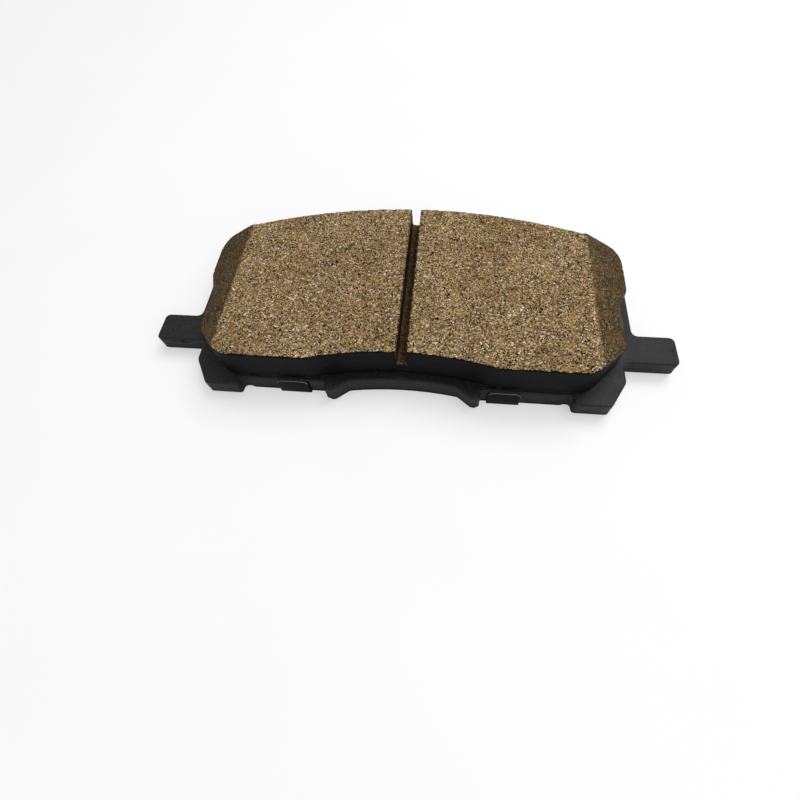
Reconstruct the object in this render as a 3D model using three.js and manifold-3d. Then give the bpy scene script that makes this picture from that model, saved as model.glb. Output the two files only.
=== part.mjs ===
// Disc brake pad for a passenger car: a stamped backing plate with two ears and two feet, a moulded
// friction block on an underlayer and a bond layer, and two shims on the back, the outer one clipped
// to the plate by four folded tabs.
//
// Frame: millimetres, +Z out of the friction face, +X along the pad from ear to ear, +Y radially
// outward from the disc axis. The pad lies on its back, the origin under the middle of its box.
import * as THREE from 'three';
import { mergeVertices } from 'three/addons/utils/BufferGeometryUtils.js';
import Module from 'manifold-3d';

const wasm = await Module();
wasm.setup();

// ---------------------------------------------------------------- driving dimensions
// A height is a distance above the feet's ends, along Y. A reach is a distance from the middle, along X.
// An inset is a distance in from the plate's side.

// Layers, from the back to the friction face
const OUTER_SHIM_THICKNESS = 0.6;
const INNER_SHIM_THICKNESS = 0.8;
const PLATE_THICKNESS = 4.8;
const BOND_THICKNESS = 0.2;
const UNDERLAYER_THICKNESS = 1.8;
const BLOCK_THICKNESS = 8.3;

// Backing plate
const PLATE_WIDTH = 115.6;
const PLATE_HEIGHT = 54.9;
const PLATE_TOP_RADIUS = 139.7;
const PLATE_TOP_CORNER = 4.6;
const EAR_LENGTH = 10.3;
const EAR_DEPTH = 8.1;
const EAR_LOWER_HEIGHT = 12.4;
const EAR_LOWER_CORNER = 1.1;
const EAR_UPPER_CORNER = 1.3;
const EAR_ROOT_FILLET = 1.4;
const WAIST_INSET = 3.3;
const WAIST_HEIGHT = 6.8;
const WAIST_CORNER = 1.6;
const FOOT_INSET = 7.5;
const FOOT_WIDTH = 8.7;
const FOOT_CORNER = 0.6;
const RECESS_HEIGHT = 2.2;
const RECESS_FILLET = 0.8;
const PRONG_INSET = 38.4;
const PRONG_WIDTH = 2.4;
const PRONG_CORNER = 0.4;
const ARCH_HEIGHT = 3.8;
const ARCH_SLOPE_WIDTH = 3.4;
const ARCH_FILLET = 3.0;

// Friction block
const BLOCK_TOP_MARGIN = 1.2;
const BLOCK_SIDE_MARGIN = 0.5;
const BLOCK_ARCH_HEIGHT = 5.9;
const BLOCK_LOWER_HEIGHT = 2.85;
const BLOCK_WAIST_INSET = 3.9;
const BLOCK_CORNER_INSET = 13.2;
const BLOCK_CORNER_HEIGHT = 13.1;
const BLOCK_CORNER_RADIUS = 7.0;
const BULGE_START_DROP = 21.0;
const BULGE_END_DROP = 13.4;
const BULGE_RADIUS = 6.0;
const SHOULDER_LENGTH = 12.4;
const SHOULDER_RADIUS = 4.0;
const CHAMFER_INSET = 11.5;
const CHAMFER_ANGLE = 33;
const SLOT_WIDTH = 2.4;
const SLOT_DEPTH = 6.1;

// Plugs moulded through the plate, and the plate's bosses that locate the shims
const PLUG_DIAMETER = 9.0;
const PLUG_REACHES = [14, 39];
const PLUG_HEIGHT = 27.7;
const PLUG_CLEARANCE = 0.3;
const BOSS_DIAMETER = 7.0;
const BOSS_REACH = 26.5;
const BOSS_HEIGHT = 27.7;
const BOSS_SETBACK = 0.25;
const BOSS_CLEARANCE = 0.4;

// Shims and the outer shim's four tabs
const SHIM_EDGE_INSET = 1.6;
const SHIM_ARCH_INSET = 0.35;
const SHIM_CORNER = 0.7;
const TAB_WIDTH = 8.0;
const TAB_GAP = 0.3;
const TAB_OVER_PLATE = 0.2;
const TAB_CORNER = 1.6;
const LEFT_TAB_PRONG_GAP = 4.5;
const RIGHT_TAB_PRONG_GAP = 1.8;
const UPPER_TAB_REACH = 24;

// ---------------------------------------------------------------- derived places
const outerShimTop = OUTER_SHIM_THICKNESS;
const plateBottom = outerShimTop + INNER_SHIM_THICKNESS;
const plateTop = plateBottom + PLATE_THICKNESS;
const bondTop = plateTop + BOND_THICKNESS;
const underlayerTop = bondTop + UNDERLAYER_THICKNESS;
const frictionFace = underlayerTop + BLOCK_THICKNESS;

// The plate's and the block's curved edges are circles about the disc axis.
const axisHeight = PLATE_HEIGHT - PLATE_TOP_RADIUS;
const archRadius = ARCH_HEIGHT - axisHeight;
const blockTopRadius = PLATE_TOP_RADIUS - BLOCK_TOP_MARGIN;
const blockArchRadius = BLOCK_ARCH_HEIGHT - axisHeight;

const plateSide = PLATE_WIDTH / 2;
const waistReach = plateSide - WAIST_INSET;
const footOuter = plateSide - FOOT_INSET;
const footInner = footOuter - FOOT_WIDTH;
const prongOuter = plateSide - PRONG_INSET;
const prongInner = prongOuter - PRONG_WIDTH;
const blockSide = plateSide - BLOCK_SIDE_MARGIN;
const blockWaist = plateSide - BLOCK_WAIST_INSET;
const shoulderReach = blockSide - SHOULDER_LENGTH;

// ---------------------------------------------------------------- outlines
const yOf = (height) => height - PLATE_HEIGHT / 2;
const corner = (x, height, radius = 0) => ({ x, y: yOf(height), radius });

// Where a circle about the disc axis stands at a reach, and the reach at which it stands at a height.
const heightAt = (radius, reach) => axisHeight + Math.sqrt(radius ** 2 - reach ** 2);
const reachAt = (radius, height) => Math.sqrt(radius ** 2 - (height - axisHeight) ** 2);

// Corners along a circle about the disc axis, from one reach to another, both ends included.
function axisArc(radius, fromReach, toReach, steps) {
  const from = Math.asin(fromReach / radius);
  const to = Math.asin(toReach / radius);
  return Array.from({ length: steps + 1 }, (_, i) => {
    const reach = radius * Math.sin(from + ((to - from) * i) / steps);
    return corner(reach, heightAt(radius, reach));
  });
}

// A closed outline, symmetric about x = 0, from its right half listed from the bottom to the top.
function mirrored(rightHalf) {
  const leftHalf = rightHalf.filter((p) => p.x > 0).reverse().map((p) => ({ ...p, x: -p.x }));
  return [...rightHalf, ...leftHalf];
}

// A shape through the corners, each rounded by a tangent arc of its radius. Where an edge is too short
// for the arcs at its ends, each takes no more than half of it.
function roundedShape(corners) {
  const shape = new THREE.Shape();
  corners.forEach((c, i) => {
    const before = corners[(i + corners.length - 1) % corners.length];
    const after = corners[(i + 1) % corners.length];
    const incoming = new THREE.Vector2(c.x - before.x, c.y - before.y);
    const outgoing = new THREE.Vector2(after.x - c.x, after.y - c.y);
    const room = Math.min(incoming.length(), outgoing.length()) / 2;
    incoming.normalize();
    outgoing.normalize();
    const turn = Math.atan2(incoming.cross(outgoing), incoming.dot(outgoing));
    const bend = Math.tan(Math.abs(turn) / 2);
    const setback = Math.min(c.radius * bend, room);
    const radius = setback / bend;
    const start = new THREE.Vector2(c.x, c.y).addScaledVector(incoming, -setback);
    if (i === 0) shape.moveTo(start.x, start.y);
    else shape.lineTo(start.x, start.y);
    if (setback > 0) {
      const toCentre = new THREE.Vector2(-incoming.y, incoming.x).multiplyScalar(Math.sign(turn));
      const centre = start.clone().addScaledVector(toCentre, radius);
      const startAngle = Math.atan2(-toCentre.y, -toCentre.x);
      shape.absarc(centre.x, centre.y, radius, startAngle, startAngle + turn, turn < 0);
    }
  });
  return shape;
}

function plateOutline() {
  const arch = axisArc(archRadius, 0, prongInner - ARCH_SLOPE_WIDTH, 4);
  arch.at(-1).radius = ARCH_FILLET;
  const earTip = plateSide + EAR_LENGTH;
  const earUpperHeight = EAR_LOWER_HEIGHT + EAR_DEPTH;
  const shoulderHeight = heightAt(PLATE_TOP_RADIUS, shoulderReach);
  return mirrored([
    ...arch,
    corner(prongInner, 0, PRONG_CORNER),
    corner(prongOuter, 0, PRONG_CORNER),
    corner(prongOuter, RECESS_HEIGHT, RECESS_FILLET),
    corner(footInner, RECESS_HEIGHT, RECESS_FILLET),
    corner(footInner, 0, FOOT_CORNER),
    corner(footOuter, 0, FOOT_CORNER),
    corner(waistReach, WAIST_HEIGHT, WAIST_CORNER),
    corner(waistReach, EAR_LOWER_HEIGHT, EAR_ROOT_FILLET),
    corner(earTip, EAR_LOWER_HEIGHT, EAR_LOWER_CORNER),
    corner(earTip, earUpperHeight, EAR_UPPER_CORNER),
    corner(plateSide, earUpperHeight, EAR_ROOT_FILLET),
    corner(plateSide, shoulderHeight, PLATE_TOP_CORNER),
    ...axisArc(PLATE_TOP_RADIUS, shoulderReach, 0, 12),
  ]);
}

// The block's outline, drawn in by an inset.
function blockOutline(inset = 0) {
  const topRadius = blockTopRadius - inset;
  const inner = blockArchRadius + inset;
  const lower = BLOCK_LOWER_HEIGHT + inset;
  const waist = blockWaist - inset;
  const side = blockSide - inset;
  const shoulder = heightAt(topRadius, shoulderReach);
  return mirrored([
    ...axisArc(inner, 0, reachAt(inner, lower), 6),
    corner(plateSide - BLOCK_CORNER_INSET, lower, BLOCK_CORNER_RADIUS),
    corner(waist, BLOCK_CORNER_HEIGHT, BLOCK_CORNER_RADIUS),
    corner(waist, shoulder - BULGE_START_DROP, BULGE_RADIUS),
    corner(side, shoulder - BULGE_END_DROP, BULGE_RADIUS),
    corner(side, shoulder, SHOULDER_RADIUS),
    ...axisArc(topRadius, shoulderReach, 0, 12),
  ]);
}

// Both shims' outline: flush with the plate at the arch and its prongs, clear of ears and feet.
function shimOutline() {
  const topRadius = PLATE_TOP_RADIUS - SHIM_EDGE_INSET;
  const side = waistReach - SHIM_EDGE_INSET;
  const recess = RECESS_HEIGHT + SHIM_ARCH_INSET;
  const prongSide = prongOuter - SHIM_ARCH_INSET;
  const archSide = prongInner + SHIM_ARCH_INSET;
  return mirrored([
    ...axisArc(archRadius + SHIM_ARCH_INSET, 0, archSide - ARCH_SLOPE_WIDTH, 4),
    corner(archSide, SHIM_ARCH_INSET, SHIM_CORNER),
    corner(prongSide, SHIM_ARCH_INSET, SHIM_CORNER),
    corner(prongSide, recess, SHIM_CORNER),
    corner(footInner - SHIM_EDGE_INSET, recess, 3 * SHIM_CORNER),
    corner(side, EAR_LOWER_HEIGHT, 3 * SHIM_CORNER),
    corner(side, heightAt(topRadius, shoulderReach), 3 * SHIM_CORNER),
    ...axisArc(topRadius, shoulderReach, 0, 12),
  ]);
}

// ---------------------------------------------------------------- solids
const ARC_SEGMENTS = 6;
const ROUND_SEGMENTS = 32;

function extruded(outline, bottom, top, holes = []) {
  const shape = roundedShape(outline);
  shape.holes.push(...holes);
  const options = { depth: top - bottom, bevelEnabled: false, curveSegments: ARC_SEGMENTS };
  return new THREE.ExtrudeGeometry(shape, options).translate(0, 0, bottom);
}

function box(width, depth, height) {
  return new THREE.BoxGeometry(width, depth, height);
}

// An upright cylinder from one level of the layers to another.
function pin(diameter, x, height, bottom, top) {
  return new THREE.CylinderGeometry(diameter / 2, diameter / 2, top - bottom, ROUND_SEGMENTS)
    .rotateX(Math.PI / 2)
    .translate(x, yOf(height), (bottom + top) / 2);
}

function toSolid(geometry) {
  const bare = geometry.clone();
  bare.deleteAttribute('normal');
  bare.deleteAttribute('uv');
  const merged = mergeVertices(bare, 1e-5);
  const vertProperties = new Float32Array(merged.attributes.position.array);
  const triVerts = new Uint32Array(merged.index.array);
  return new wasm.Manifold(new wasm.Mesh({ numProp: 3, vertProperties, triVerts }));
}

function toGeometry(solid) {
  const mesh = solid.getMesh();
  const geometry = new THREE.BufferGeometry();
  geometry.setAttribute('position', new THREE.BufferAttribute(new Float32Array(mesh.vertProperties), 3));
  geometry.setIndex(new THREE.BufferAttribute(new Uint32Array(mesh.triVerts), 1));
  return geometry;
}

const joined = (first, ...rest) => rest.reduce((sum, g) => sum.add(toSolid(g)), first);
const cut = (first, ...rest) => rest.reduce((left, g) => left.subtract(toSolid(g)), first);
const bothSides = (reaches) => reaches.flatMap((reach) => [-reach, reach]);

function backingPlate() {
  const past = 1;
  const plate = toSolid(extruded(plateOutline(), plateBottom, plateTop));
  const holes = bothSides(PLUG_REACHES).map((x) =>
    pin(PLUG_DIAMETER, x, PLUG_HEIGHT, plateBottom - past, plateTop + past));
  const sunk = 1;
  const bosses = bothSides([BOSS_REACH]).map((x) =>
    pin(BOSS_DIAMETER, x, BOSS_HEIGHT, BOSS_SETBACK, plateBottom + sunk));
  return toGeometry(joined(cut(plate, ...holes), ...bosses));
}

// The wedge above one end's chamfer plane, to be cut away.
function chamferWedge(side) {
  const size = 60;
  const angle = THREE.MathUtils.degToRad(CHAMFER_ANGLE);
  return box(size, 2 * PLATE_HEIGHT, size)
    .translate(size / 2, 0, size / 2)
    .rotateY(angle)
    .translate(plateSide - CHAMFER_INSET, 0, frictionFace)
    .rotateZ(side < 0 ? Math.PI : 0);
}

function frictionBlock() {
  const block = toSolid(extruded(blockOutline(), underlayerTop, frictionFace));
  const above = 2;
  const slotHeight = SLOT_DEPTH + above;
  const slot = box(SLOT_WIDTH, 2 * PLATE_HEIGHT, slotHeight)
    .translate(0, 0, frictionFace - SLOT_DEPTH + slotHeight / 2);
  return toGeometry(cut(block, chamferWedge(-1), chamferWedge(1), slot));
}

// The softer layer under the block, with its plugs standing down through the bond layer and the plate.
function underlayer() {
  const layer = toSolid(extruded(blockOutline(), bondTop, underlayerTop));
  const sunk = 0.5;
  const plugs = bothSides(PLUG_REACHES).map((x) =>
    pin(PLUG_DIAMETER - 2 * PLUG_CLEARANCE, x, PLUG_HEIGHT, plateBottom, bondTop + sunk));
  return toGeometry(joined(layer, ...plugs));
}

function bondLayer() {
  const past = 1;
  const film = toSolid(extruded(blockOutline(0.3), plateTop, bondTop));
  const holes = bothSides(PLUG_REACHES).map((x) =>
    pin(PLUG_DIAMETER, x, PLUG_HEIGHT, plateTop - past, bondTop + past));
  return toGeometry(cut(film, ...holes));
}

function shimSheet(bottom, top) {
  const past = 1;
  const sheet = toSolid(extruded(shimOutline(), bottom, top));
  const holes = bothSides([BOSS_REACH]).map((x) =>
    pin(BOSS_DIAMETER + 2 * BOSS_CLEARANCE, x, BOSS_HEIGHT, bottom - past, top + past));
  return cut(sheet, ...holes);
}

// One tab: a strip of the sheet that runs out past the plate's edge, and a wall folded up along it.
// The plate's edge is at y = 0 and the tab's outer face at y = -reachOut.
function tab(reachOut) {
  const overlap = 3;
  const strip = box(TAB_WIDTH, reachOut + overlap, OUTER_SHIM_THICKNESS)
    .translate(0, (overlap - reachOut) / 2, OUTER_SHIM_THICKNESS / 2);
  const half = TAB_WIDTH / 2;
  const wallTop = plateTop + TAB_OVER_PLATE;
  const face = roundedShape([
    { x: -half, y: 0, radius: 0 },
    { x: half, y: 0, radius: 0 },
    { x: half, y: wallTop, radius: TAB_CORNER },
    { x: -half, y: wallTop, radius: TAB_CORNER },
  ]);
  const options = { depth: OUTER_SHIM_THICKNESS, bevelEnabled: false, curveSegments: ARC_SEGMENTS };
  const wall = new THREE.ExtrudeGeometry(face, options)
    .rotateX(Math.PI / 2)
    .translate(0, OUTER_SHIM_THICKNESS - reachOut, 0);
  return [strip, wall];
}

function outerShim() {
  const reachOut = TAB_GAP + OUTER_SHIM_THICKNESS;
  const toTabMiddle = prongOuter + TAB_WIDTH / 2;
  const lowerPlaces = [-(toTabMiddle + LEFT_TAB_PRONG_GAP), toTabMiddle + RIGHT_TAB_PRONG_GAP];
  const lowerTabs = lowerPlaces.flatMap((x) =>
    tab(reachOut).map((g) => g.translate(x, yOf(RECESS_HEIGHT), 0)));
  const upperTabs = bothSides([UPPER_TAB_REACH]).flatMap((x) =>
    tab(reachOut).map((g) => g
      .rotateZ(Math.PI)
      .translate(0, PLATE_TOP_RADIUS, 0)
      .rotateZ(-Math.asin(x / PLATE_TOP_RADIUS))
      .translate(0, yOf(axisHeight), 0)));
  return toGeometry(joined(shimSheet(0, outerShimTop), ...lowerTabs, ...upperTabs));
}

function innerShim() {
  return toGeometry(shimSheet(outerShimTop, plateBottom));
}

// ---------------------------------------------------------------- assembly
const pad = new THREE.Group();
pad.name = 'brake_pad';

function addPart(name, geometry, color, roughness, metalness) {
  const mesh = new THREE.Mesh(geometry, new THREE.MeshStandardMaterial({ color, roughness, metalness }));
  mesh.name = name;
  pad.add(mesh);
}

addPart('backing_plate', backingPlate(), 0x2b2b2d, 0.5, 0.3);
addPart('bond_layer', bondLayer(), 0x3a2f1e, 0.7, 0.0);
addPart('underlayer', underlayer(), 0x4a4136, 0.9, 0.0);
addPart('friction_block', frictionBlock(), 0x8c7758, 0.95, 0.0);
addPart('inner_shim', innerShim(), 0x1d1d1e, 0.8, 0.0);
addPart('outer_shim', outerShim(), 0x242426, 0.4, 0.6);

export default pad;
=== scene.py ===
"""A disc brake pad lying on its back on a pale floor, friction face up.

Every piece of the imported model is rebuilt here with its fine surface: the granular friction face and
its ragged edges, the coated walls, the stamped plate's rolled edges and torn walls, and the folded
tabs of the outer shim. Meshes are made in millimetres and scaled to metres when they are finished.
"""

import math

import bmesh
import bpy
import numpy as np
from mathutils import Matrix, Vector
from mathutils.geometry import tessellate_polygon


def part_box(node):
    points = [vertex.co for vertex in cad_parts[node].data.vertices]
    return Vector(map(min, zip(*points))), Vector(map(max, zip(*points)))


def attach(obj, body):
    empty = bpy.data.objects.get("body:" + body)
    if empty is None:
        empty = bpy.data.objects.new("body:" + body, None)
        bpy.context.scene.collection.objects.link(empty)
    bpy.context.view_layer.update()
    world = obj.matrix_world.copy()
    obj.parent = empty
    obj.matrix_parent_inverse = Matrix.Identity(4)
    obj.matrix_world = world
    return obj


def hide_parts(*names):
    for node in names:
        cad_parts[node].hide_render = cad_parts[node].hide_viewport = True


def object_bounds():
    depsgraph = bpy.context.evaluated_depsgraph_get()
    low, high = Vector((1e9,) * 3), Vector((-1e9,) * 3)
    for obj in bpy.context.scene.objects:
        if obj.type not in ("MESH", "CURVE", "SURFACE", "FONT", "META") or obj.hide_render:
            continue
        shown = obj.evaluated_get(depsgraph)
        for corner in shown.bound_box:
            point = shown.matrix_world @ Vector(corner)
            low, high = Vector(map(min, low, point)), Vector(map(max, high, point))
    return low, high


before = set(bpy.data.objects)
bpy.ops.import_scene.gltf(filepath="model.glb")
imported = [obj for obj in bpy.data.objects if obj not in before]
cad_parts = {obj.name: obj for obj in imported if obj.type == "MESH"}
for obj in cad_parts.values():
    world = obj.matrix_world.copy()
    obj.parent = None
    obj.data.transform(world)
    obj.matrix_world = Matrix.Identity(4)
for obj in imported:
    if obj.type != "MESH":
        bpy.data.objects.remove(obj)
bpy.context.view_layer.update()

MM = 0.001
VOXEL = 0.3           # mm, fineness of the moulded body's surface
OUTLINE_STEP = 0.35   # mm, fineness along a stamped outline
WELD = 0.002          # mm, corners of a CAD node nearer than this are one
LEVEL = 0.01          # mm, corners this near to a height lie at it
SHEET_EDGE = 0.12     # mm, the rolled edges of both shim sheets
TAB_SEAT = 0.27       # mm, how much nearer the tabs stand to the plate than in the solid
TAB_GAUGE = 0.5       # mm, the tabs' thickness
TORN_REACH = 10.6     # mm, how far the torn wall runs in from the left ear's tip

# Paint tones as they look, 0 to 255: the tone, and the lighter one that it is mottled with.
WALL_PAINT = ((8, 8, 9), (13, 13, 14))
PLATE_PAINT = ((14, 14, 15), (21, 21, 23))
SHIM_PAINT = ((5, 5, 6), (8, 8, 9))

# Shares of the grains and their tones, each from its number up to the next one's.
FACE_GRAINS = [
    (0.00, (18, 16, 13)), (0.19, (84, 65, 39)), (0.32, (130, 105, 66)), (0.52, (170, 139, 86)),
    (0.70, (94, 93, 93)), (0.79, (196, 168, 120)), (0.945, (232, 221, 198)),
]
CHAMFER_GRAINS = [
    (0.00, (24, 20, 14)), (0.22, (60, 50, 36)), (0.55, (86, 71, 49)), (0.80, (112, 93, 64)),
    (0.94, (146, 126, 92)),
]
FIBRE_GRAINS = [(0.0, (48, 40, 31)), (0.4, (74, 64, 50)), (0.8, (96, 84, 66))]
FLOOR_FADE = (200.0, 700.0)   # mm from the origin, where the floor turns into the white background

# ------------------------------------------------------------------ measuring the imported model


def node_mesh(*names):
    """One or more CAD nodes as a bmesh in millimetres, with shared corners merged."""
    bm = bmesh.new()
    for name in names:
        bm.from_mesh(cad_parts[name].data)
    bmesh.ops.scale(bm, vec=(1 / MM,) * 3, verts=bm.verts)
    bmesh.ops.remove_doubles(bm, verts=bm.verts, dist=WELD)
    return bm


def box_mm(name):
    """A CAD node's lowest and highest corners, in millimetres."""
    low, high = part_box(name)
    return low / MM, high / MM


def loops_at(name, height):
    """The outlines of a CAD node's flat faces at a height, each with the material on its left."""
    bm = node_mesh(name)
    flat = [f for f in bm.faces if all(abs(v.co.z - height) < LEVEL for v in f.verts)]
    members = set(flat)   # only asked about: its own order changes from run to run
    after = {}
    for face in flat:
        up = face.normal.z > 0
        for side in face.loops:
            if sum(f in members for f in side.edge.link_faces) == 1:
                a, b = side.vert, side.link_loop_next.vert
                after.update({a: b} if up else {b: a})
    loops = []
    while after:
        start, here = next(iter(after.items()))
        del after[start]
        loop = [start.co.xy]
        while here is not start:
            loop.append(here.co.xy)
            here = after.pop(here)
        loops.append(np.array(loop))
    bm.free()
    return sorted(loops, key=lambda loop: -np.ptp(loop[:, 0]))


def block_shape():
    """The friction face's height, where its end chamfers start, their slope, and the slot's section."""
    co = np.array([v.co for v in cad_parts["friction_block"].data.vertices]) / MM
    front = co[:, 2].max()
    face = co[co[:, 2] > front - LEVEL]
    start = np.abs(face[:, 0]).max()
    side = np.abs(co[:, 0]).max()
    side_top = co[np.abs(co[:, 0]) > side - LEVEL][:, 2].max()
    slot_half = np.abs(face[:, 0]).min()
    slot = co[np.abs(np.abs(co[:, 0]) - slot_half) < LEVEL]
    return {
        "front": front,
        "chamfer_start": start,
        "slope": (front - side_top) / (side - start),
        "side": side,
        "slot_half": slot_half,
        "slot_floor": slot[:, 2].min(),
    }


# ------------------------------------------------------------------ noise and mesh helpers


def value_noise(points, size, seed):
    """Smooth noise from -1 to 1 at each point, with lumps of about that size."""
    scaled = points / size
    cell = np.floor(scaled).astype(np.int64)
    t = scaled - cell
    t = t * t * (3 - 2 * t)
    total = np.zeros(len(points))
    for corner in np.ndindex(2, 2, 2):
        c = cell + corner
        h = (c[:, 0] * 73856093) ^ (c[:, 1] * 19349663) ^ (c[:, 2] * 83492791) ^ (seed * 2654435761)
        h &= 0xFFFFFFFF
        h = ((h ^ (h >> 13)) * 1274126177) & 0xFFFFFFFF
        h ^= h >> 16
        weight = np.prod(np.where(corner, t, 1 - t), axis=1)
        total += weight * (h / 2**31 - 1)
    return total


def smooth_step(value, low, high):
    t = np.clip((value - low) / (high - low), 0, 1)
    return t * t * (3 - 2 * t)


def piece_from(bm, name, replaced, material):
    """Turns a bmesh in millimetres into a finished piece that stands for CAD nodes."""
    bmesh.ops.scale(bm, vec=(MM,) * 3, verts=bm.verts)
    mesh = bpy.data.meshes.new(name)
    bm.to_mesh(mesh)
    bm.free()
    mesh.shade_smooth()
    mesh.materials.append(material)
    piece = bpy.data.objects.new(name, mesh)
    bpy.context.scene.collection.objects.link(piece)
    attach(piece, "root")
    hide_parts(*replaced)
    return piece


def with_modifiers(bm, *settings):
    """The bmesh after modifiers, each given as (type, {property: value})."""
    mesh = bpy.data.meshes.new("work")
    bm.to_mesh(mesh)
    bm.free()
    work = bpy.data.objects.new("work", mesh)
    bpy.context.scene.collection.objects.link(work)
    for kind, values in settings:
        modifier = work.modifiers.new(kind.lower(), kind)
        for key, value in values.items():
            setattr(modifier, key, value)
    evaluated = work.evaluated_get(bpy.context.evaluated_depsgraph_get())
    done = bmesh.new()
    done.from_mesh(evaluated.to_mesh())
    evaluated.to_mesh_clear()
    bpy.data.objects.remove(work)
    bpy.data.meshes.remove(mesh)
    return done


def resampled(loop, step=OUTLINE_STEP, rounding=2):
    """The outline with points a step apart, its facets smoothed a little."""
    closed = np.vstack([loop, loop[:1]])
    lengths = np.linalg.norm(np.diff(closed, axis=0), axis=1)
    along = np.concatenate([[0], np.cumsum(lengths)])
    count = int(along[-1] / step)
    at = np.linspace(0, along[-1], count, endpoint=False)
    points = np.column_stack([np.interp(at, along, closed[:, k]) for k in (0, 1)])
    for _ in range(rounding):
        points = (np.roll(points, 1, 0) + 2 * points + np.roll(points, -1, 0)) / 4
    return points


def inward(points):
    """Unit normals of an outline towards its material."""
    tangent = np.roll(points, -1, 0) - np.roll(points, 1, 0)
    tangent /= np.linalg.norm(tangent, axis=1)[:, None]
    return np.column_stack([-tangent[:, 1], tangent[:, 0]])


def stamped(bm, loops, profile):
    """Adds a flat stamping: rings up each outline's wall, and the two flat faces.

    The profile lists (inset, height) from the back to the front. An inset may be a function of the
    outline's points and the height, for a wall that isn't plain.
    """
    ends = ([], [])
    for loop in loops:
        points = resampled(loop)
        normals = inward(points)
        rings = []
        for inset, height in profile:
            depth = inset(points, height) if callable(inset) else np.full(len(points), inset)
            ring = points + normals * depth[:, None]
            rings.append([bm.verts.new((x, y, height)) for x, y in ring])
        for low, high in zip(rings, rings[1:]):
            for i in range(len(low)):
                j = (i + 1) % len(low)
                bm.faces.new((low[i], low[j], high[j], high[i]))
        ends[0].append(rings[0])
        ends[1].append(rings[-1])
    for rings, flip in zip(ends, (True, False)):
        corners = [v for ring in rings for v in ring]
        for triangle in tessellate_polygon([[v.co for v in ring] for ring in rings]):
            face = bm.faces.new([corners[i] for i in triangle])
            face.normal_update()
            if (face.normal.z < 0) != flip:
                face.normal_flip()


def rolled_edge(radius, height, front):
    """Profile steps around an edge of that radius, from the wall to the flat (front) or back again."""
    steps = []
    turns = 5
    flat_ring = 0.08
    for k in range(turns + 1):
        angle = math.pi / 2 * k / turns
        inset = radius * (1 - math.cos(angle))
        rise = radius * math.sin(angle)
        steps.append((inset, height - radius + rise if front else height + radius - rise))
    steps.append((radius + flat_ring, height))
    return steps if front else steps[::-1]


# ------------------------------------------------------------------ materials


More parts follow.
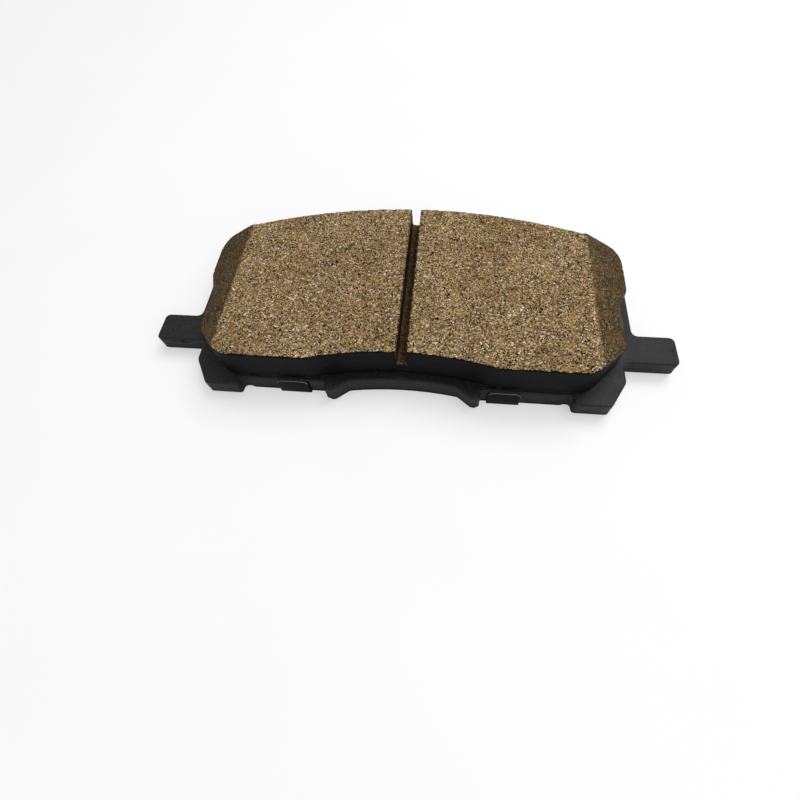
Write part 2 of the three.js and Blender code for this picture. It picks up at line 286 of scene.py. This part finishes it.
class Shader:
    """One material's node tree, written briefly. Colours are given as they look, 0 to 255."""

    def __init__(self, name):
        self.material = bpy.data.materials.new(name)
        self.material.use_nodes = True
        self.tree = self.material.node_tree
        self.surface = self.tree.nodes["Principled BSDF"]
        coordinates = self.node("ShaderNodeTexCoord").outputs["Object"]
        self.place = self.node("ShaderNodeVectorMath", {0: coordinates, "Scale": 1 / MM},
                               operation="SCALE").outputs[0]
        axes = self.node("ShaderNodeSeparateXYZ", {0: self.place}).outputs
        self.x, self.y, self.z = axes[0], axes[1], axes[2]

    def node(self, kind, inputs=None, **settings):
        node = self.tree.nodes.new(kind)
        for key, value in settings.items():
            setattr(node, key, value)
        for key, value in (inputs or {}).items():
            self.feed(node.inputs[key], value)
        return node

    def feed(self, socket, value):
        if isinstance(value, bpy.types.NodeSocket):
            self.tree.links.new(value, socket)
        elif isinstance(value, tuple) and socket.type == "RGBA":
            socket.default_value = as_linear(value)
        else:
            socket.default_value = value

    def set(self, **values):
        """Sets or feeds the surface's own sockets, such as Base_Color."""
        for key, value in values.items():
            self.feed(self.surface.inputs[key.replace("_", " ")], value)

    def math(self, operation, *values):
        return self.node("ShaderNodeMath", dict(enumerate(values)), operation=operation).outputs[0]

    def step(self, value, low, high):
        """0 below low and 1 above high, smooth between."""
        inputs = {"Value": value, "From Min": low, "From Max": high}
        return self.node("ShaderNodeMapRange", inputs, interpolation_type="SMOOTHSTEP").outputs[0]

    def noise(self, size, detail=2.0, stretch=None):
        place = self.place
        if stretch:
            place = self.node("ShaderNodeVectorMath", {0: place, 1: stretch},
                              operation="MULTIPLY").outputs[0]
        inputs = {"Vector": place, "Scale": 1 / size, "Detail": detail}
        return self.node("ShaderNodeTexNoise", inputs).outputs[0]

    def grains(self, size, offset=0.0):
        """Random crooked cells of about that size: two random values a cell, and the distance in it."""
        crooked = self.node("ShaderNodeTexNoise",
                            {"Vector": self.place, "Scale": 0.9 / size, "Detail": 1.0})
        bend = self.node("ShaderNodeVectorMath", {0: crooked.outputs["Color"], "Scale": 1.3 * size},
                         operation="SCALE").outputs[0]
        moved = self.node("ShaderNodeVectorMath", {0: self.place, 1: bend}).outputs[0]
        moved = self.node("ShaderNodeVectorMath", {0: moved, 1: (offset, offset, offset)}).outputs[0]
        cells = self.node("ShaderNodeTexVoronoi", {"Vector": moved, "Scale": 1 / size})
        parts = self.node("ShaderNodeSeparateColor", {0: cells.outputs["Color"]}).outputs
        return parts[0], parts[1], cells.outputs["Distance"]

    def ramp(self, value, stops, interpolation="LINEAR"):
        node = self.node("ShaderNodeValToRGB", {0: value})
        ramp = node.color_ramp
        ramp.interpolation = interpolation
        while len(ramp.elements) < len(stops):
            ramp.elements.new(0.5)
        for element, (position, colour) in zip(ramp.elements, stops):
            element.position = position
            element.color = as_linear(colour)
        return node.outputs[0]

    def mix(self, factor, a, b, blend="MIX"):
        node = self.node("ShaderNodeMix", data_type="RGBA", blend_type=blend)
        self.feed(node.inputs[0], factor)
        self.feed(node.inputs[6], a)
        self.feed(node.inputs[7], b)
        return node.outputs[2]

    def bump(self, height, strength, depth_mm):
        inputs = {"Height": height, "Strength": strength, "Distance": depth_mm * MM}
        self.set(Normal=self.node("ShaderNodeBump", inputs).outputs[0])

    def near(self, centre, radius):
        """1 within a ragged spot about a point, 0 outside it."""
        away = self.node("ShaderNodeVectorMath", {0: self.place, 1: centre}, operation="DISTANCE")
        ragged = self.math("MULTIPLY_ADD", self.noise(0.5), 0.9 * radius, away.outputs["Value"])
        return self.step(ragged, 1.35 * radius, 1.15 * radius)


def as_linear(colour):
    return tuple((c / 255 / 12.92) if c < 11 else ((c / 255 + 0.055) / 1.055) ** 2.4 for c in colour) + (1,)


def paint_colour(s, base, lighter):
    """Satin black paint: slow mottling and fine dust."""
    slow = s.step(s.noise(9.0, 3.0), 0.3, 0.75)
    tone = s.mix(slow, base, lighter)
    dust, _, _ = s.grains(0.3)
    return s.mix(s.step(dust, 0.997, 0.999), tone, (50, 49, 48))


def face_colour(s, coarse, coarse_other, fine, fine_other):
    """Ground grains of two sizes, with rare white and copper ones, and slow blotches over them."""
    big = s.ramp(coarse, FACE_GRAINS, "CONSTANT")
    small = s.ramp(fine, FACE_GRAINS, "CONSTANT")
    face = s.mix(s.step(coarse_other, 0.5, 0.8), small, big)
    face = s.mix(s.step(fine_other, 0.986, 0.99), face, (240, 234, 220))
    face = s.mix(s.step(fine_other, 0.006, 0.004), face, (196, 122, 72))
    blotch = s.step(s.noise(3.2, 3.0), 0.56, 0.72)
    face = s.mix(s.math("MULTIPLY", blotch, 0.4), face, (168, 136, 84))
    slow = s.ramp(s.noise(16.0, 2.0), [(0.3, (226, 222, 216)), (0.7, (255, 255, 255))])
    return s.mix(1.0, face, slow, "MULTIPLY")


def chamfer_colour(s, past, width):
    """Dark brown ground dust, darker still towards the block's ends."""
    dust, _, _ = s.grains(0.28, 3.0)
    chamfer = s.ramp(dust, CHAMFER_GRAINS, "CONSTANT")
    brown = s.step(s.noise(3.0, 4.0), 0.45, 0.65)
    chamfer = s.mix(s.math("MULTIPLY", brown, 0.5), chamfer, (102, 79, 46))
    outward = s.step(past, 0.0, width)
    return s.mix(s.math("MULTIPLY", outward, 0.35), chamfer, (52, 44, 33))


def slot_colour_and_shade(s, fine, floor):
    """Walls darkened to nearly black as painted shade in the narrow slot, and a brown floor, with a ragged
    line between them.
    """
    light = s.step(fine, 0.3, 0.8)
    # The walls' near-black tones are painted shade; the floor's brown is the composite's own colour.
    walls = s.mix(light, (20, 17, 13), (40, 32, 22))
    bottom = s.mix(light, (54, 42, 28), (116, 92, 61))
    height = s.math("MULTIPLY_ADD", s.noise(0.8, 3.0), 0.6, s.z)
    return s.mix(s.step(height, floor + 0.75, floor + 0.4), walls, bottom)


def friction_material(shape):
    """Bare granular composite on the face and in the slot, with painted shade on the slot's walls, darker
    on the chamfers, painted walls.
    """
    s = Shader("friction_composite")
    reach = s.math("ABSOLUTE", s.x)
    past = s.math("SUBTRACT", reach, shape["chamfer_start"])
    drop = s.math("MULTIPLY", s.math("MAXIMUM", past, 0.0), shape["slope"])
    skin = s.math("SUBTRACT", s.math("SUBTRACT", shape["front"], drop), s.z)
    coarse, coarse_other, coarse_edge = s.grains(0.38)
    fine, fine_other, fine_edge = s.grains(0.21, 7.0)

    wander = s.math("MULTIPLY_ADD", s.noise(1.6, 4.0), 2.6, -1.3)
    on_chamfer = s.step(s.math("ADD", past, wander), -0.4, 0.5)
    bare = s.mix(on_chamfer, face_colour(s, coarse, coarse_other, fine, fine_other),
                 chamfer_colour(s, past, shape["side"] - shape["chamfer_start"]))

    in_slot = s.math("MULTIPLY", s.step(reach, shape["slot_half"] + 0.18, shape["slot_half"] + 0.08),
                     s.step(s.z, shape["slot_floor"] - 0.2, shape["slot_floor"] - 0.1))
    # Deep in the slot its own colours take over, including the painted shade on its walls.
    deep = s.math("MULTIPLY", in_slot, s.step(skin, 0.3, 1.2))
    bare = s.mix(deep, bare, slot_colour_and_shade(s, fine, shape["slot_floor"]))

    ragged = s.math("MULTIPLY_ADD", s.noise(0.7, 3.0), 0.5, skin)
    painted = s.math("MULTIPLY", s.step(ragged, 0.42, 0.52), s.math("SUBTRACT", 1.0, in_slot))
    s.set(Base_Color=s.mix(painted, bare, paint_colour(s, *WALL_PAINT)),
          Roughness=s.math("MULTIPLY_ADD", painted, -0.38, 0.9),
          Specular_IOR_Level=0.06)

    rough = s.math("ADD", s.math("MULTIPLY", coarse_edge, 0.6), s.math("MULTIPLY", fine_edge, 0.5))
    rough = s.math("ADD", rough, s.math("MULTIPLY", coarse, 0.5))
    covered = s.math("MAXIMUM", painted, s.math("MULTIPLY", on_chamfer, 0.7))
    calm = s.math("MULTIPLY_ADD", covered, -0.85, 1.0)
    peel = s.math("MULTIPLY", s.noise(0.9, 3.0), 0.25)
    s.bump(s.math("MULTIPLY_ADD", rough, calm, peel), 0.9, 0.16)
    return s.material


def plate_paint_material(tip, middle, top):
    """Satin black powder coat with a fine grain, and small dents and torn marks on the left ear, both
    darkened to near black as painted shade.

    The dents are placed from the ears' tips, the ears' middle along Y and the plate's front.
    """
    s = Shader("plate_paint")
    colour = paint_colour(s, *PLATE_PAINT)
    grain = s.step(s.noise(0.4, 2.0), 0.38, 0.62)
    colour = s.mix(s.math("MULTIPLY", grain, 0.55), colour, (40, 40, 42))
    # The dents are real hollows in the bump; their near-black colour is painted shade.
    dents_and_shade = 0.0
    for place, radius in (
        ((tip - 1.1, middle + 0.1, top), 0.4),
        ((tip - 0.8, middle - 1.4, top), 0.35),
        ((tip - 0.3, middle + 1.8, top - 1.0), 0.35),
        ((tip - 11.6, middle + 9.8, top), 0.4),
        ((5.1 - tip, middle - 4.0, top - 0.7), 0.4),
    ):
        dents_and_shade = s.math("MAXIMUM", dents_and_shade, s.near(place, radius))
    wander = s.math("MULTIPLY_ADD", s.noise(2.4, 2.0), 2.4, s.z)
    seam = s.math("ABSOLUTE", s.math("SUBTRACT", wander, top + 0.2))
    on_ear = s.step(s.x, TORN_REACH - tip, TORN_REACH - tip - 1.0)
    torn = s.math("MULTIPLY", s.step(seam, 0.3, 0.12), on_ear)
    # The dents and the torn lines are coloured near black: painted shade in these hollows.
    s.set(Base_Color=s.mix(s.math("MULTIPLY", s.math("MAXIMUM", torn, dents_and_shade), 0.9), colour, (2, 2, 2)),
          Roughness=s.math("MULTIPLY_ADD", s.noise(2.5, 3.0), 0.16, 0.42),
          Specular_IOR_Level=0.16)
    peel = s.math("ADD", s.noise(0.55, 2.0), s.math("MULTIPLY", s.noise(1.8, 2.0), 0.8))
    s.bump(s.math("SUBTRACT", peel, s.math("MULTIPLY", dents_and_shade, 2.0)), 0.6, 0.14)
    return s.material


def shim_paint_material(tab_top):
    """Smooth black paint on sheet steel, with a pale line along the tabs' upper edges that is partly rubbed
    paint and partly painted highlight.
    """
    s = Shader("shim_paint")
    colour = paint_colour(s, *SHIM_PAINT)
    normal = s.node("ShaderNodeNewGeometry").outputs["True Normal"]
    outward, up = s.node("ShaderNodeSeparateXYZ", {0: normal}).outputs[1:]
    # The pale rim on the upper bevels, picked out by normals tilting up and out, is painted highlight as
    # well as rubbed paint.
    rim = s.math("MULTIPLY", s.step(s.math("ABSOLUTE", outward), 0.1, 0.2), s.step(up, 0.1, 0.2))
    high = s.step(s.math("MULTIPLY_ADD", s.noise(1.4, 3.0), 1.2, s.z), tab_top - 1.2, tab_top - 0.6)
    scuff = s.step(s.noise(2.2, 5.0, (1.0, 0.25, 1.0)), 0.66, 0.74)
    wear_and_highlight = s.math("MAXIMUM", s.math("MULTIPLY", rim, high), s.math("MULTIPLY", scuff, 0.12))
    s.set(Base_Color=s.mix(wear_and_highlight, colour, (118, 115, 109)),
          Roughness=s.math("MULTIPLY_ADD", s.noise(3.0, 3.0), 0.14, 0.3),
          Specular_IOR_Level=0.05)
    s.bump(s.noise(0.8, 3.0), 0.35, 0.05)
    return s.material


def shim_rubber_material():
    """Matt rubber coating with a fine calendered grain."""
    s = Shader("shim_rubber")
    colour = s.mix(s.step(s.noise(6.0, 3.0), 0.35, 0.7), (24, 24, 25), (36, 36, 36))
    s.set(Base_Color=colour, Roughness=s.math("MULTIPLY_ADD", s.noise(1.5), 0.15, 0.75),
          Specular_IOR_Level=0.25)
    s.bump(s.noise(0.35, 2.0), 0.5, 0.04)
    return s.material


def underlayer_material():
    """Dense dark fibre composite, painted black on its walls like the block."""
    s = Shader("underlayer_composite")
    cell, _, edge = s.grains(0.4)
    fibre = s.noise(0.9, 3.0, (0.25, 1.0, 1.0))
    body = s.ramp(cell, FIBRE_GRAINS, "CONSTANT")
    body = s.mix(s.step(fibre, 0.55, 0.7), body, (110, 98, 80))
    normal = s.node("ShaderNodeNewGeometry").outputs["Normal"]
    upright = s.node("ShaderNodeSeparateXYZ", {0: normal}).outputs[2]
    wall = s.step(s.math("ABSOLUTE", upright), 0.8, 0.6)
    s.set(Base_Color=s.mix(wall, body, paint_colour(s, *WALL_PAINT)),
          Roughness=s.math("MULTIPLY_ADD", wall, -0.36, 0.88), Specular_IOR_Level=0.06)
    calm = s.math("MULTIPLY_ADD", wall, -0.9, 1.0)
    peel = s.math("MULTIPLY", s.noise(0.9, 3.0), 0.25)
    s.bump(s.math("MULTIPLY_ADD", edge, calm, peel), 0.8, 0.1)
    return s.material


def adhesive_material():
    """Cured bonding film: a dark amber-black line, a little uneven and glossy."""
    s = Shader("adhesive")
    colour = s.mix(s.step(s.noise(1.6, 4.0), 0.4, 0.7), (18, 16, 14), (34, 28, 20))
    s.set(Base_Color=colour, Roughness=s.math("MULTIPLY_ADD", s.noise(1.0), 0.2, 0.4),
          Specular_IOR_Level=0.4)
    s.bump(s.noise(0.5, 3.0), 0.5, 0.06)
    return s.material


def floor_material():
    """Matt white paper that keeps the pad's shadow and fades into the white background far from it."""
    s = Shader("floor_paper")
    tone = s.mix(s.noise(40.0, 2.0), (243, 243, 243), (250, 250, 250))
    s.set(Base_Color=tone, Roughness=0.9, Specular_IOR_Level=0.1)
    glow = s.node("ShaderNodeEmission", {"Color": (255, 255, 255), "Strength": 1.0})
    seen = light_path(s.tree, "Is Camera Ray")
    distance = s.node("ShaderNodeVectorMath", {0: s.place}, operation="LENGTH").outputs["Value"]
    share = s.math("MULTIPLY_ADD", s.step(distance, *FLOOR_FADE), 0.5, 0.5)
    both = s.node("ShaderNodeMixShader", {0: s.math("MULTIPLY", seen, share)})
    s.tree.links.new(s.surface.outputs[0], both.inputs[1])
    s.tree.links.new(glow.outputs[0], both.inputs[2])
    s.tree.links.new(both.outputs[0], s.tree.nodes["Material Output"].inputs["Surface"])
    return s.material


def light_path(tree, *outputs):
    """1 for any of the named kinds of ray."""
    paths = tree.nodes.new("ShaderNodeLightPath").outputs
    result = paths[outputs[0]]
    for name in outputs[1:]:
        either = tree.nodes.new("ShaderNodeMath")
        either.operation = "MAXIMUM"
        tree.links.new(result, either.inputs[0])
        tree.links.new(paths[name], either.inputs[1])
        result = either.outputs[0]
    return result


# ------------------------------------------------------------------ pieces


def moulded_solid():
    """The block and its underlayer as one closed solid, without the faces they share."""
    _, layer_top = box_mm("underlayer")
    bm = node_mesh("friction_block", "underlayer")
    shared = [f for f in bm.faces if all(abs(v.co.z - layer_top.z) < LEVEL for v in f.verts)]
    bmesh.ops.delete(bm, geom=shared, context="FACES")
    bmesh.ops.remove_doubles(bm, verts=bm.verts, dist=LEVEL)
    return bm, layer_top.z


def roughen(bm, shape, floor):
    """Wears the moulded surface inwards: granular on the face, ragged at its edges, calm on the walls."""
    bm.normal_update()
    co = np.array([v.co for v in bm.verts])
    normal = np.array([v.normal for v in bm.verts])
    reach = np.abs(co[:, 0])
    past = np.maximum(reach - shape["chamfer_start"], 0)
    skin = shape["front"] - past * shape["slope"] - co[:, 2]
    on_top = smooth_step(-skin, -0.45, -0.15)
    in_slot = smooth_step(-reach, -shape["slot_half"] - 0.3, -shape["slot_half"] - 0.1)
    bare = np.maximum(on_top, in_slot * (co[:, 2] > floor))
    chamfer = smooth_step(past, 0, 0.3)
    amount = 0.012 + bare * (0.075 - 0.045 * chamfer)
    lumps = 0.55 * value_noise(co, 0.75, 1) + 0.45 * value_noise(co, 0.42, 2)
    depth = amount * (1 + lumps)
    at_edge = on_top * smooth_step(-np.abs(normal[:, 2]), -0.97, -0.8) * (1 - chamfer * 0.4)
    chips = np.maximum(value_noise(co, 0.9, 3), 0) + 0.6 * np.maximum(value_noise(co, 2.4, 4) - 0.35, 0)
    depth += at_edge * chips * 0.26
    for vert, place in zip(bm.verts, co - normal * depth[:, None]):
        vert.co = place


def half(bm, height, upper):
    """The part of a closed solid above or below a height, closed again."""
    part = bm.copy()
    bmesh.ops.bisect_plane(part, geom=part.verts[:] + part.edges[:] + part.faces[:], dist=1e-5,
                           plane_co=(0, 0, height), plane_no=(0, 0, 1),
                           clear_inner=upper, clear_outer=not upper)
    bmesh.ops.holes_fill(part, edges=[e for e in part.edges if e.is_boundary], sides=0)
    return part


def moulded_pieces():
    shape = block_shape()
    bm, joint = moulded_solid()
    voxel = VOXEL * 1
    bm = with_modifiers(bm, ("REMESH", {"mode": "VOXEL", "voxel_size": voxel, "adaptivity": 0.0}))
    roughen(bm, shape, joint)
    block = half(bm, joint, upper=True)
    layer = half(bm, joint, upper=False)
    bm.free()
    block = piece_from(block, "friction_block_moulding", ["friction_block"],
                       friction_material(shape))
    layer = piece_from(layer, "underlayer_moulding", ["underlayer"], underlayer_material())
    for piece in (block, layer):
        flat_cuts(piece, joint)


def flat_cuts(piece, joint):
    """The cut between block and underlayer is flat, so it is shaded flat."""
    for polygon in piece.data.polygons:
        if abs(abs(polygon.normal.z) - 1) < 1e-4 and abs(polygon.center.z / MM - joint) < LEVEL:
            polygon.use_smooth = False


def bond_bead():
    """The thin film under the underlayer, squeezed out a little and unevenly along its edge."""
    low, high = box_mm("bond_layer")

    def squeezed(points, height):
        flat = np.column_stack([points, np.zeros(len(points))])
        return -0.14 - 0.1 * value_noise(flat, 1.6, 11) - 0.05 * value_noise(flat, 0.6, 12)

    bm = bmesh.new()
    middle = (low.z + high.z) / 2
    stamped(bm, loops_at("bond_layer", high.z)[:1], [(0.3, low.z), (squeezed, middle), (0.3, high.z)])
    return piece_from(bm, "bond_film", ["bond_layer"], adhesive_material())


def torn_wall(front, back, tip):
    """A blanked wall's inset, smooth where it was sheared and drawn in where it broke away.

    On the left ear it is torn near the front.
    """
    ear = tip - TORN_REACH

    def inset(points, height):
        at = np.column_stack([points, np.full(len(points), height)])
        flat = np.column_stack([points, np.zeros(len(points))])
        line = front - (front - back) * (0.45 + 0.16 * value_noise(flat, 5.0, 21)
                                         + 0.05 * value_noise(flat, 1.1, 22))
        torn = smooth_step(value_noise(flat, 1.7, 26), -0.1, 0.25)
        torn *= smooth_step(-points[:, 0], ear, ear + 1.5)
        off = front - 0.9 - height + 0.3 * value_noise(flat, 1.3, 27)
        tear = torn * np.exp(-((off / 0.3) ** 2))
        broken = smooth_step(line - height, 0.0, 0.35)
        grooves = value_noise(at * (1, 1, 0.35), 0.5, 23) * 0.5 + value_noise(at, 0.9, 24) * 0.5
        return broken * (0.06 + 0.05 * grooves) + 0.012 * value_noise(at, 1.5, 25) + 0.8 * tear

    return inset


def boss(bm, centre, radius, low, high):
    """A round boss pushed out of the plate's back, with a rounded rim."""
    rim = 0.35
    profile = [(radius - rim, low)]
    profile += [(radius - rim * (1 - math.sin(a)), low + rim * (1 - math.cos(a)))
                for a in np.linspace(0, math.pi / 2, 6)[1:]]
    profile.append((radius, high))
    segments = 64
    rings = []
    for r, z in profile:
        angles = np.linspace(0, 2 * math.pi, segments, endpoint=False)
        rings.append([bm.verts.new((centre[0] + r * math.cos(a), centre[1] + r * math.sin(a), z))
                      for a in angles])
    for outer, upper in zip(rings, rings[1:]):
        for i in range(segments):
            j = (i + 1) % segments
            bm.faces.new((outer[i], outer[j], upper[j], upper[i]))
    bm.faces.new(rings[0][::-1])
    bm.faces.new(rings[-1])


def ear_middle(tip):
    """The middle of the right ear between its two sides, along Y."""
    sides_reach = 3.0   # from the tip past its rounded corners, where both sides are straight
    bm = node_mesh("backing_plate")
    sides = [v.co.y for v in bm.verts if v.co.x > tip - sides_reach]
    bm.free()
    return (min(sides) + max(sides)) / 2


def backing_plate():
    """The stamped plate: rolled front edges, torn walls, plug holes and two bosses on the back."""
    low, high = box_mm("backing_plate")
    back = box_mm("inner_shim")[1].z
    roll = 0.42
    burr = 0.15
    sunk = 0.5
    wall = torn_wall(high.z, back, high.x)
    heights = np.linspace(back + burr, high.z - roll, 20)[1:-1]
    profile = rolled_edge(burr, back, False)
    profile += [(wall, h) for h in heights]
    profile += rolled_edge(roll, high.z, True)
    bm = bmesh.new()
    stamped(bm, loops_at("backing_plate", high.z), profile)
    for circle in loops_at("backing_plate", low.z):
        centre = (circle.min(0) + circle.max(0)) / 2
        boss(bm, centre, np.ptp(circle[:, 0]) / 2, low.z, back + sunk)
    return piece_from(bm, "backing_plate_stamping", ["backing_plate"],
                      plate_paint_material(high.x, ear_middle(high.x), high.z))


def sheet_profile(low, high):
    return rolled_edge(SHEET_EDGE, low, False) + rolled_edge(SHEET_EDGE, high, True)


def inner_shim():
    """The rubber-coated inner sheet."""
    low, high = box_mm("inner_shim")
    bm = bmesh.new()
    stamped(bm, loops_at("inner_shim", high.z), sheet_profile(low.z, high.z))
    return piece_from(bm, "inner_shim_sheet", ["inner_shim"], shim_rubber_material())


def tab_frames(sheet_top):
    """Each tab of the outer shim, set nearer to the plate: its outer face's middle, outward direction,
    width and top."""
    bm = node_mesh("outer_shim")
    co = np.array([v.co for v in bm.verts if v.co.z > sheet_top + 0.5])
    bm.free()
    frames = []
    for side_x in (-1, 1):
        for side_y in (-1, 1):
            tab = co[(co[:, 0] * side_x > 0) & (co[:, 1] * side_y > 0)]
            middle = (tab[:, :2].min(0) + tab[:, :2].max(0)) / 2
            spread = tab[:, :2] - middle
            along = np.linalg.eigh(spread.T @ spread)[1][:, -1]
            out = np.array([-along[1], along[0]])
            out *= np.sign(out[1]) * side_y
            reach = spread @ out
            outer = middle + out * (reach.max() - TAB_SEAT)
            frames.append((outer, out, np.ptp(spread @ along), tab[:, 2].max()))
    return frames


def fold_tab(bm, frame_of_tab):
    """One folded tab: out of the sheet, round a bend, and up to its rounded upper corners."""
    outer, out, width, top = frame_of_tab
    across = np.array([out[1], -out[0]])
    corner = 1.6        # the upper corners' radius
    least = 0.12        # what a corner leaves of its radius in the top row
    bend = 0.95         # the fold's outer radius
    inside = 2.2        # how far the foot runs into the sheet
    columns = 9
    quarter = np.linspace(0, math.pi / 2, 9)
    path = [(-bend - inside, 0.0, 0.0)]
    path += [(-bend + bend * math.sin(a), bend * (1 - math.cos(a)), a) for a in quarter]
    straight = np.linspace(bend, top - corner, 5)[1:]
    rounded = top - corner * (1 - np.sin(quarter))[1:]
    path += [(0.0, z, math.pi / 2) for z in np.concatenate([straight, rounded])]
    rows = []
    for reach, z, turn in path:
        over = max(0.0, z - (top - corner))
        narrowed = corner - math.sqrt(max(corner**2 - over**2, 0.0)) if turn > 1.5 else 0.0
        half_width = width / 2 - min(narrowed, corner - least)
        skin = []
        for depth in (0.0, TAB_GAUGE):
            r = reach - depth * math.sin(turn)
            h = z + depth * math.cos(turn)
            for u in np.linspace(-half_width, half_width, columns):
                xy = outer + out * r + across * u
                skin.append(bm.verts.new((xy[0], xy[1], h)))
        rows.append(skin[:columns] + skin[columns:][::-1])
    for low, high in zip(rows, rows[1:]):
        for i in range(len(low)):
            j = (i + 1) % len(low)
            bm.faces.new((low[i], low[j], high[j], high[i]))
    bm.faces.new(rows[0][::-1])
    bm.faces.new(rows[-1])


def outer_shim():
    """The painted outer sheet with its four folded tabs."""
    low, high = box_mm("outer_shim")
    sheet_top = box_mm("inner_shim")[0].z
    tabs = bmesh.new()
    for each in tab_frames(sheet_top):
        fold_tab(tabs, each)
    bmesh.ops.recalc_face_normals(tabs, faces=tabs.faces)
    # Close rows on the flat faces would make the bevel collapse into slivers, so they go first.
    bmesh.ops.dissolve_limit(tabs, angle_limit=math.radians(1), verts=tabs.verts, edges=tabs.edges)
    bevel = {"width": 0.14, "segments": 3, "angle_limit": math.radians(50)}
    tabs = with_modifiers(tabs, ("BEVEL", bevel))
    work = bpy.data.meshes.new("tabs")
    tabs.to_mesh(work)
    tabs.free()
    bm = bmesh.new()
    stamped(bm, loops_at("inner_shim", sheet_top), sheet_profile(low.z, sheet_top))
    bm.from_mesh(work)
    bpy.data.meshes.remove(work)
    return piece_from(bm, "outer_shim_sheet", ["outer_shim"], shim_paint_material(high.z))


# ------------------------------------------------------------------ floor, light and camera

FLOOR_SIZE = 1.5      # m, from the middle to each side
FLOOR_GAP = 0.00005   # m, left under the pad
SKY_LIGHT = 0.35      # the sky's strength as light; it is seen at 1
CAMERA_PLACE = (11.59, -79.04, 114.37)   # mm
CAMERA_RIGHT = (0.99423, 0.09258, -0.05413)
CAMERA_BACK = (0.09523, -0.52992, 0.84269)

def add_floor():
    bm = bmesh.new()
    bmesh.ops.create_grid(bm, x_segments=8, y_segments=8, size=FLOOR_SIZE)
    mesh = bpy.data.meshes.new("floor")
    bm.to_mesh(mesh)
    bm.free()
    mesh.materials.append(floor_material())
    floor = bpy.data.objects.new("floor", mesh)
    floor.location.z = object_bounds()[0][2] - FLOOR_GAP
    bpy.context.scene.collection.objects.link(floor)


def add_lamp(name, place, size, power):
    data = bpy.data.lights.new(name, "AREA")
    data.shape = "SQUARE"
    data.size = size
    data.energy = power
    lamp = bpy.data.objects.new(name, data)
    lamp.location = place
    lamp.rotation_euler = (-Vector(place)).to_track_quat("-Z", "Y").to_euler()
    bpy.context.scene.collection.objects.link(lamp)


def add_world():
    """Even pale light all round, plain white where the camera or a gloss sees it."""
    world = bpy.data.worlds.new("studio")
    world.use_nodes = True
    tree = world.node_tree
    background = tree.nodes["Background"]
    background.inputs["Color"].default_value = (1, 1, 1, 1)
    seen = light_path(tree, "Is Camera Ray", "Is Glossy Ray", "Is Transmission Ray")
    strength = tree.nodes.new("ShaderNodeMapRange")
    strength.inputs["To Min"].default_value = SKY_LIGHT
    strength.inputs["To Max"].default_value = 1.0
    tree.links.new(seen, strength.inputs["Value"])
    tree.links.new(strength.outputs[0], background.inputs["Strength"])
    bpy.context.scene.world = world


def add_camera():
    """Above the lower edge, looking steeply down across the pad with a wide lens."""
    data = bpy.data.cameras.new("camera")
    data.sensor_width = 36.0
    data.lens = 21.94
    data.shift_x = -0.0053
    data.shift_y = -0.0779
    data.clip_start = 0.005
    data.clip_end = 20.0
    camera = bpy.data.objects.new("camera", data)
    right = Vector(CAMERA_RIGHT).normalized()
    back = Vector(CAMERA_BACK).normalized()
    up = back.cross(right).normalized()
    turn = Matrix((right, up, back)).transposed().to_4x4()
    camera.matrix_world = Matrix.Translation(Vector(CAMERA_PLACE) * MM) @ turn
    bpy.context.scene.collection.objects.link(camera)
    bpy.context.scene.camera = camera


add_camera()
add_world()
add_lamp("key", place=(0.24, 0.26, 0.72), size=0.45, power=4.2)
add_lamp("fill", place=(0.42, -0.34, 0.56), size=0.60, power=1.7)
add_floor()
moulded_pieces()
bond_bead()
backing_plate()
inner_shim()
outer_shim()

bpy.context.scene.view_settings.view_transform = "Standard"
